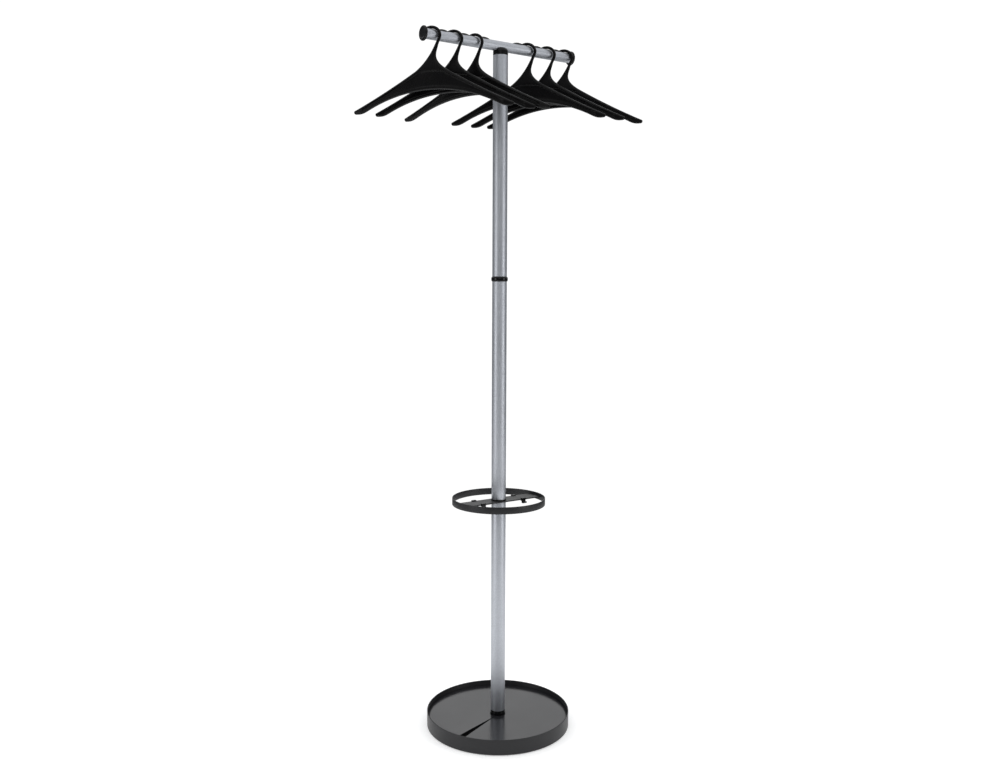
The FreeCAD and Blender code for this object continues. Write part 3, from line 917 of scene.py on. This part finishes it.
def hanger_mesh(panel_step):
    """One hanger in millimetres: across from the bar, up from the bar's axis, and depth.

    Two sheets, front and back, run from tip to tip. Their upper edge climbs the neck and
    opens there into a ring, which goes on as the round hook.
    """
    # The blade's middle lies a little to one side of the hook, which is a rod bent round an
    # oval. Its straight stem leaves the oval at touch and comes down to foot.
    shift, rod, half_ring = 1.5, 3.9, 7
    oval, centre = np.array((23.4, 19.6)), np.array((0.0, -2.8))
    foot = np.array((shift + 3.0, -46.0))
    fall, side = oval[0] * (centre[1] - foot[1]), oval[1] * foot[0]
    touch_angle = (math.acos(oval[0] * oval[1] / math.hypot(fall, side))
                   - math.atan2(fall, side))
    touch = centre + oval * (math.cos(touch_angle), math.sin(touch_angle))
    up = (touch - foot) / np.hypot(*(touch - foot))
    right = np.array((up[1], -up[0]))
    ring_middle = foot + up * 27.0
    ring_left, ring_right = ring_middle - right * rod, ring_middle + right * rod

    # Right half of the blade's upper and under edges, which meet in the tip's nose.
    shoulder, tip_top, tip_under, heel = (37, -81.5), (209, -169.8), (203, -178.2), (176, -173.2)
    tip_bend, nose, nose_level = -5.6, 209.8, -172.7
    tip = arc(tip_top, tip_under, tip_bend, 24)
    top = np.vstack(([shoulder], arc(shoulder, tip_top, 1800, 60), tip[:6]))
    top = np.vstack((top[top[:, 0] < nose], [[nose, nose_level]]))
    under = np.vstack((tip[6:], arc(tip_under, heel, -45, 16),
                       arc(heel, (-heel[0], heel[1]), 380, 120)[:60]))
    under = np.vstack((under[::-1], [[nose, nose_level]]))
    under = under[np.argsort(under[:, 0])]

    # The panel's outline: a crown that follows the shoulders, and an arch below.
    crown_end, arch_end = (188, -164.5), (186, -171.5)
    crown = np.vstack(([[-35, -88.5]], arc((-35, -88.5), (35, -88.5), -260, 20),
                       arc((35, -88.5), crown_end, 1800, 40)))
    arch = np.vstack(([arch_end], arc(arch_end, (-186, -171.5), 385, 120)))
    panel = np.vstack((
        crown, arc(crown_end, arch_end, tip_bend, 8), arch[1:],
        arc((-186, -171.5), (-188, -164.5), tip_bend, 8),
        (crown[21:] * (-1, 1))[::-1][:-1]))

    # The neck's two sides, which run smoothly into the upper edge this far from the middle.
    root = 48.0
    outward = np.array((1.0, (level_on(top, root + 4) - level_on(top, root - 4)) / 8))
    outward /= np.hypot(*outward)

    def flare(start, neck, down, side):
        """One side of the neck, from the ring to the shoulder."""
        end = (shift + side * root, level_on(top, root))
        return np.vstack((start[None], eased(start, -up, neck, down, 6),
                          eased(neck, down, end, outward * (side, 1), 14)))

    flare_left = flare(ring_left, (-1.0, -44.0), (-0.56, -0.828), -1)
    flare_right = flare(ring_right, (13.0, -48.0), (0.0, -1.0), 1)

    def feet_of(line, low, high):
        """How far across each station of a flare ends below, spread by distance along it."""
        steps = np.hypot(*np.diff(line, axis=0).T)
        run = np.concatenate(([0], np.cumsum(steps)))
        return low + (high - low) * run / run[-1]

    # Stations: where each one starts on the upper edge, and how far across it ends below.
    # The neck's end well to the left, so that none bulges out of its hollow right side.
    last_even = 185
    arm = np.concatenate((
        np.linspace(root, last_even, 32)[1:],
        last_even + (nose - last_even) * np.sin(np.linspace(0, math.pi / 2, 14))[1:-1]))
    ring_angles = np.linspace(math.pi, 0, half_ring)
    ring_points = ring_middle + rod * np.cos(ring_angles)[:, None] * right
    foot_left, foot_right = -14.0, -4.0
    tops = np.vstack((
        np.stack((shift - arm, level_on(top, arm)), 1)[::-1], flare_left[::-1][:-1],
        ring_points, flare_right[1:], np.stack((shift + arm, level_on(top, arm)), 1)))
    feet = np.concatenate((
        -arm[::-1], feet_of(flare_left, foot_left, -root)[::-1][:-1],
        np.linspace(foot_left, foot_right, half_ring),
        feet_of(flare_right, foot_right, root)[1:], arm))
    ring_start = len(arm) + len(flare_left) - 1

    # Rows: from the upper edge to the crown, on to the arch, and on to the under edge.
    # Beyond the panel they divide the tip evenly.
    under_z = level_on(under, feet)
    beyond, reach = np.abs(feet) > 184, tops[:, 1] - under_z
    crown_z = np.where(beyond, tops[:, 1] - 0.32 * reach, level_on(crown[10:], feet))
    arch_z = np.where(beyond, tops[:, 1] - 0.76 * reach, level_on(arch[60::-1], feet))
    key = [tops] + [np.stack((feet + shift, z), 1) for z in (crown_z, arch_z, under_z)]
    near = np.minimum(1.3 / np.maximum(crown_z - arch_z, 0.5)[:, None], 0.16)
    shares = ((0, 0.04, 0.12, 0.24, 0.4, 0.56, 0.7, 0.82, 0.92),
              (0, near * 0.5, near, 0.26, 0.42, 0.58, 0.74, 1 - near, 1 - near * 0.5),
              (0, 0.2, 0.45, 0.65, 0.82, 0.94, 1))
    grid = np.stack([above + (below - above) * share
                     for above, below, group in zip(key, key[1:], shares)
                     for share in group], 1)
    columns, row_count = grid.shape[:2]
    spots = grid.reshape(-1, 2)

    # Half depth: rounded rims, full at the shoulders, thinner at the neck and the tips.
    full_depth, to_middle, mirror = 5.5, np.array((shift, 0.0)), (-1, 1)
    upper_left = np.vstack((ring_left + up * 9, flare_left, (top * mirror + to_middle)[1:]))
    upper_right = np.vstack((ring_right + up * 9, flare_right, (top + to_middle)[1:]))
    lower_line = np.vstack(((under * mirror + to_middle)[::-1], under + to_middle))
    from_top = np.minimum(distance_to(upper_left, spots), distance_to(upper_right, spots))
    from_under = distance_to(lower_line, spots)
    relative = spots - to_middle
    away, z = np.abs(spots[:, 0] - shift), spots[:, 1]
    body = rod + (full_depth - rod) * smooth_step((-z - 42) / 42)
    body = body - 1.5 * smooth_step((away - 150) / 60)
    under_rounding = 2.6 + 1.6 * smooth_step((away - 165) / 35)
    depth = body * np.minimum(round_edge(from_top, body),
                              round_edge(from_under, under_rounding))
    gap = distance_to(np.vstack((panel, panel[:1])), relative)
    gap = np.where(within(panel, relative), gap, -gap)
    fade = 1 - smooth_step((away - 172) / 14)
    sunk = smooth_step((gap + 0.1) / 1.4) * panel_step * fade
    depth = np.maximum(depth - sunk, 0.3).reshape(columns, row_count)
    depth[:, 0] = depth[:, -1] = 0
    depth[ring_start:ring_start + half_ring, 0] = rod * np.sin(ring_angles)

    points, index_of = [], {}

    def vertex(column, row, back):
        """The point's number; the two sheets share the points that have no depth."""
        height = depth[column, row]
        name = (column, row, back and height >= 1e-6)
        if name not in index_of:
            index_of[name] = len(points)
            points.append((grid[column, row, 0], height if name[2] else -height,
                           grid[column, row, 1]))
        return index_of[name]

    faces = []
    for back in (False, True):
        for column in range(columns - 1):
            for row in range(row_count - 1):
                face = [vertex(column, row, back), vertex(column + 1, row, back),
                        vertex(column + 1, row + 1, back), vertex(column, row + 1, back)]
                face = list(dict.fromkeys(face))
                if len(face) > 2:
                    faces.append(face[::-1] if back else face)
    # Each nose closes every row of the last station in one point.
    for column, side in ((0, -1), (columns - 1, 1)):
        tip_point = len(points)
        points.append((shift + side * nose, 0.0, nose_level))
        for back in (False, True):
            for row in range(row_count - 1):
                face = list(dict.fromkeys((
                    vertex(column, row, back), vertex(column, row + 1, back), tip_point)))
                if len(face) > 2:
                    faces.append(face)

    # The hook: rings along the stem and round the oval, closed by a round end.
    ring = [vertex(ring_start + k, 0, False) for k in range(half_ring)]
    ring += [vertex(ring_start + k, 0, True) for k in range(half_ring - 2, 0, -1)]
    turns = np.concatenate((ring_angles, 2 * math.pi - ring_angles[1:-1][::-1]))
    path = [(ring_middle + (touch - ring_middle) * step / 5, up, rod) for step in range(1, 5)]
    for angle in np.linspace(touch_angle, math.radians(175), 44):
        way = np.array((-oval[0] * math.sin(angle), oval[1] * math.cos(angle)))
        path.append((centre + oval * (math.cos(angle), math.sin(angle)),
                     way / np.hypot(*way), rod))
    end, way = path[-1][:2]
    path += [(end + way * rod * bulge, way, rod * math.sqrt(1 - bulge ** 2))
             for bulge in (0.35, 0.62, 0.82, 0.95)]
    for middle, way, size in path:
        across = np.array((way[1], -way[0]))
        following = []
        for turn in turns:
            spot = middle + across * size * math.cos(turn)
            following.append(len(points))
            points.append((spot[0], -size * math.sin(turn), spot[1]))
        for index in range(len(ring)):
            after = (index + 1) % len(ring)
            faces.append((ring[index], ring[after], following[after], following[index]))
        ring = following
    faces.append(ring)
    return [(a * MM, d * MM, h * MM) for a, d, h in points], faces


class RACK_OT_hangers(bpy.types.Operator):
    """Six moulded hangers on the crossbar"""

    bl_idname = "rack.hangers"
    bl_label = "Hangers"

    def execute(self, context):
        points, faces = hanger_mesh(context.scene.rack_sizes.panel_step / MM)
        first = make_object("hanger_1_moulding", points, faces, moulded_polypropylene(), 60)
        for number, bearing in enumerate(HANGER_BEARINGS, start=1):
            hanger = first
            if number > 1:
                hanger = bpy.data.objects.new(f"hanger_{number}_moulding", first.data)
                context.scene.collection.objects.link(hanger)
            smoother = hanger.modifiers.new("smoother", "SUBSURF")
            smoother.levels = smoother.render_levels = 1
            place = Vector(JOINTS[f"hanger_{number}_swing"]["pos_m"])
            hanger.matrix_world = (Matrix.Translation(place)
                                   @ Matrix.Rotation(math.radians(bearing), 4, "Z"))
            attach(hanger, f"hanger_{number}")
            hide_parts(f"hanger_{number}")
        return {"FINISHED"}


# ---- Studio ----


def softbox(name, place, aim, size, power):
    """A large rectangular light that faces a point and is not seen itself."""
    data = bpy.data.lights.new(name, "AREA")
    data.shape, data.size, data.size_y, data.energy = "RECTANGLE", *size, power
    light = bpy.data.objects.new(name, data)
    bpy.context.scene.collection.objects.link(light)
    light.location = place
    light.rotation_euler = (Vector(aim) - Vector(place)).to_track_quat("-Z", "Y").to_euler()
    light.visible_camera = False
    return light


class RACK_OT_studio(bpy.types.Operator):
    """Pale floor, soft lights and the camera"""

    bl_idname = "rack.studio"
    bl_label = "Studio"

    def execute(self, context):
        scene = context.scene
        scene.view_settings.view_transform = "Standard"
        # The floor is opal acrylic lit from below: white, and nearly free of shadow.
        colour = linear("#F6F6F6")
        acrylic, tree, shader, place = new_finish("opal_acrylic", {
            "Base Color": (*colour, 1), "Roughness": 0.9, "Specular IOR Level": 0.1,
            "Emission Color": (1, 1, 1, 1), "Emission Strength": 0.32})
        haze = add_node(tree, "ShaderNodeTexNoise", {"Scale": per_metre(400)},
                        {"Vector": place})
        vary(tree, shader, colour, (haze.outputs["Fac"], 0.01))
        segments, rings = 96, (0.02, 0.6, 1.4, 2.3)
        points, faces = turned([(radius, 0.0) for radius in rings], segments, closed=False)
        faces.append([step * len(rings) for step in range(segments)])
        floor = make_object("floor", points, faces, acrylic)

        world = bpy.data.worlds.new("studio")
        scene.world = world
        world.use_nodes = True
        tree = world.node_tree
        tree.nodes.clear()
        dim = add_node(tree, "ShaderNodeBackground", {
            "Color": (0.92, 0.96, 1.0, 1), "Strength": 0.17})
        white = add_node(tree, "ShaderNodeBackground", {
            "Color": (1, 1, 1, 1), "Strength": 1.05})
        seen = add_node(tree, "ShaderNodeLightPath")
        mixed = add_node(tree, "ShaderNodeMixShader")
        tree.links.new(seen.outputs["Is Camera Ray"], mixed.inputs[0])
        tree.links.new(dim.outputs["Background"], mixed.inputs[1])
        tree.links.new(white.outputs["Background"], mixed.inputs[2])
        add_node(tree, "ShaderNodeOutputWorld", links={"Surface": mixed.outputs["Shader"]})

        silk = bpy.data.lights.new("overhead_silk", "SUN")
        silk.energy, silk.angle = 2.1, math.radians(142)
        scene.collection.objects.link(bpy.data.objects.new("overhead_silk", silk))
        softbox("left_box", (-3.29, 0.2, 1.05), (0, 0, 1.05), (1.2, 2.0), 21)
        softbox("right_box", (1.7, -2.9, 1.15), (0, 0, 1.15), (1.2, 2.2), 23)
        softbox("back_box", (1.8, 2.7, 1.6), (0, 0, 0.6), (2.6, 1.6), 6)
        softbox("front_box", (-2.2, -3.4, 2.3), (0, 0, 1.5), (2.0, 1.4), 5)

        lens = bpy.data.cameras.new("camera")
        lens.sensor_width, lens.lens, lens.shift_y, lens.clip_end = 36.0, 34.82, 0.0041, 60
        camera = bpy.data.objects.new("camera", lens)
        scene.collection.objects.link(camera)
        forward = Vector((0.55818, 0.82384, -0.09858)).normalized()
        side = Vector((0.82811, -0.56055, 0.00439)).normalized()
        above = side.cross(forward)
        turn = Matrix((side, above, -forward)).transposed().to_4x4()
        camera.matrix_world = Matrix.Translation((-1.40698, -2.08075, 1.16525)) @ turn
        scene.camera = camera
        return {"FINISHED"}


OPERATORS = (
    RACK_OT_studio,
    RACK_OT_tray,
    RACK_OT_underside,
    RACK_OT_drip_mat,
    RACK_OT_post,
    RACK_OT_collars,
    RACK_OT_inner_hardware,
    RACK_OT_umbrella_band,
    RACK_OT_umbrella_plate,
    RACK_OT_strap_hooks,
    RACK_OT_saddle_cap,
    RACK_OT_crossbar,
    RACK_OT_end_caps,
    RACK_OT_spacers,
    RACK_OT_hangers,
)


class RACK_PT_panel(bpy.types.Panel):
    """Lists the steps that build the coat rack, with its sizes and colours"""

    bl_idname = "RACK_PT_panel"
    bl_label = "Coat Rack"
    bl_space_type = "VIEW_3D"
    bl_region_type = "UI"
    bl_category = "Coat Rack"

    def draw(self, context):
        for group in (context.scene.rack_sizes, context.scene.rack_colours):
            for name in group.__annotations__:
                self.layout.prop(group, name)
        for operator in OPERATORS:
            self.layout.operator(operator.bl_idname)


CLASSES = (RackColours, RackSizes, *OPERATORS, RACK_PT_panel)


def register():
    for item in CLASSES:
        bpy.utils.register_class(item)
    bpy.types.Scene.rack_colours = bpy.props.PointerProperty(type=RackColours)
    bpy.types.Scene.rack_sizes = bpy.props.PointerProperty(type=RackSizes)


def unregister():
    del bpy.types.Scene.rack_sizes
    del bpy.types.Scene.rack_colours
    for item in reversed(CLASSES):
        bpy.utils.unregister_class(item)


def main():
    """Builds everything in order."""
    register()
    for operator in OPERATORS:
        group, name = operator.bl_idname.split(".")
        if getattr(getattr(bpy.ops, group), name)() != {"FINISHED"}:
            raise RuntimeError(f"{operator.bl_label} did not finish")


if __name__ == "__main__":
    main()
